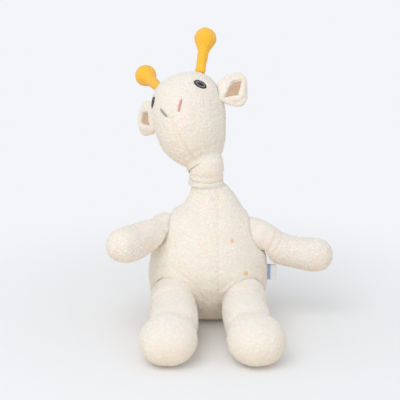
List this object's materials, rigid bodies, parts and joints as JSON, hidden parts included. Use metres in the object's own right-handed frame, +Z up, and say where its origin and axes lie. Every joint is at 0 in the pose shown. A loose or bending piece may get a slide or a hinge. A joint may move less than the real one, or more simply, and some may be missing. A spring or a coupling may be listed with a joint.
{
  "type": "plush giraffe",
  "caption": "Seated plush giraffe in cream fleece with a tilted head, ball-ended orange horns, lined ears, stitched face and floppy limbs that turn on their sewn joints.",
  "frame": {"origin": "centre of the flat seat under the torso, on the floor it sits on", "axes": "+Z up along the torso, -Y the way the toy faces, +X to the toy's own left"},
  "size_m": [0.2235, 0.2362, 0.2887],
  "materials": {
    "fleece": "short curly cream fleece, matt",
    "stuffing": "white polyester fill, matt",
    "horn_felt": "smooth orange fleece, matt",
    "ear_velour": "tan velour, soft sheen",
    "eye_thread": "black satin stitch",
    "nostril_thread": "dusty pink stitch",
    "orange_thread": "orange embroidery",
    "yellow_thread": "pale yellow embroidery",
    "ribbon": "blank woven satin ribbon"
  },
  "bodies": {
    "torso": {"torso_skin": "fleece", "torso_stuffing": "stuffing", "belly_spot": "orange_thread", "chest_spot": "orange_thread", "flank_spot": "yellow_thread", "neck_spot": "yellow_thread"},
    "neck_ring": {"neck_gather": "fleece"},
    "neck": {"neck_stuffing": "stuffing"},
    "head": {"head_skin": "fleece", "head_stuffing": "stuffing", "left_eye": "eye_thread", "right_eye": "eye_thread", "left_nostril": "nostril_thread", "right_nostril": "nostril_thread"},
    "label": {"side_label": "ribbon"},
    "left_ear": {"left_ear_outer": "fleece", "left_ear_lining": "ear_velour"},
    "left_horn": {"left_horn_skin": "horn_felt", "left_horn_stuffing": "stuffing"},
    "left_shoulder": {"left_shoulder_stuffing": "stuffing"},
    "left_arm": {"left_arm_skin": "fleece", "left_arm_stuffing": "stuffing"},
    "left_hip": {"left_hip_stuffing": "stuffing"},
    "left_leg": {"left_leg_skin": "fleece", "left_leg_stuffing": "stuffing"},
    "right_ear": {"right_ear_outer": "fleece", "right_ear_lining": "ear_velour"},
    "right_horn": {"right_horn_skin": "horn_felt", "right_horn_stuffing": "stuffing"},
    "right_shoulder": {"right_shoulder_stuffing": "stuffing"},
    "right_arm": {"right_arm_skin": "fleece", "right_arm_stuffing": "stuffing"},
    "right_hip": {"right_hip_stuffing": "stuffing"},
    "right_leg": {"right_leg_skin": "fleece", "right_leg_stuffing": "stuffing"}
  },
  "joints": [
    {"name": "head_turn", "type": "hinge", "parent": "torso", "child": "neck_ring", "pos_m": [-0.002, 0, 0.158], "axis": [0, 0, 1], "range_deg": [-45, 45]},
    {"name": "head_nod", "type": "hinge", "parent": "neck_ring", "child": "neck", "pos_m": [-0.002, 0, 0.158], "axis": [1, 0, 0], "range_deg": [-10, 60]},
    {"name": "head_tilt", "type": "hinge", "parent": "neck", "child": "head", "pos_m": [-0.002, 0, 0.158], "axis": [0, 1, 0], "range_deg": [-10, 50]},
    {"name": "left_ear_flap", "type": "hinge", "parent": "head", "child": "left_ear", "pos_m": [0.01429, 0.02763, 0.23032], "axis": [0.0656, -0.4949, -0.8665], "range_deg": [-30, 40], "stiffness_Nm_per_rad": 0.01},
    {"name": "left_horn_bend", "type": "hinge", "parent": "head", "child": "left_horn", "pos_m": [-0.00762, 0.04214, 0.24865], "axis": [0.4104, 0.7326, -0.543], "range_deg": [-20, 20], "stiffness_Nm_per_rad": 0.05},
    {"name": "left_arm_swing", "type": "hinge", "parent": "torso", "child": "left_shoulder", "pos_m": [0.04788, 0, 0.0895], "axis": [0, 0, -1], "range_deg": [-15, 15]},
    {"name": "left_arm_lift", "type": "hinge", "parent": "left_shoulder", "child": "left_arm", "pos_m": [0.04788, 0, 0.0895], "axis": [0, -1, 0], "range_deg": [-3, 80]},
    {"name": "left_leg_swing", "type": "hinge", "parent": "torso", "child": "left_hip", "pos_m": [0.0345, -0.02899, 0.034], "axis": [0, 0, 1], "range_deg": [-10, 40]},
    {"name": "left_leg_lift", "type": "hinge", "parent": "left_hip", "child": "left_leg", "pos_m": [0.0345, -0.02899, 0.034], "axis": [-0.9925, -0.1219, 0], "range_deg": [-25, 12]},
    {"name": "right_ear_flap", "type": "hinge", "parent": "head", "child": "right_ear", "pos_m": [-0.05213, 0.0476, 0.19648], "axis": [0.0964, 0.1676, 0.9811], "range_deg": [-30, 40], "stiffness_Nm_per_rad": 0.01},
    {"name": "right_horn_bend", "type": "hinge", "parent": "head", "child": "right_horn", "pos_m": [-0.04895, 0.05457, 0.22759], "axis": [-0.6971, -0.4999, 0.514], "range_deg": [-20, 20], "stiffness_Nm_per_rad": 0.05},
    {"name": "right_arm_swing", "type": "hinge", "parent": "torso", "child": "right_shoulder", "pos_m": [-0.04507, 0, 0.094], "axis": [0, 0, 1], "range_deg": [-45, 5]},
    {"name": "right_arm_lift", "type": "hinge", "parent": "right_shoulder", "child": "right_arm", "pos_m": [-0.04507, 0, 0.094], "axis": [-0.829, 0.5592, 0], "range_deg": [-5, 45]},
    {"name": "right_leg_swing", "type": "hinge", "parent": "torso", "child": "right_hip", "pos_m": [-0.0345, -0.02899, 0.034], "axis": [0, 0, -1], "range_deg": [-10, 45]},
    {"name": "right_leg_lift", "type": "hinge", "parent": "right_hip", "child": "right_leg", "pos_m": [-0.0345, -0.02899, 0.034], "axis": [-0.9994, 0.0349, 0], "range_deg": [-25, 12]},
    {"name": "side_label_flap", "type": "hinge", "parent": "torso", "child": "label", "pos_m": [0.06184, 0, 0.049], "axis": [0, 0, 1], "range_deg": [-70, 70], "stiffness_Nm_per_rad": 0.002}
  ]
}
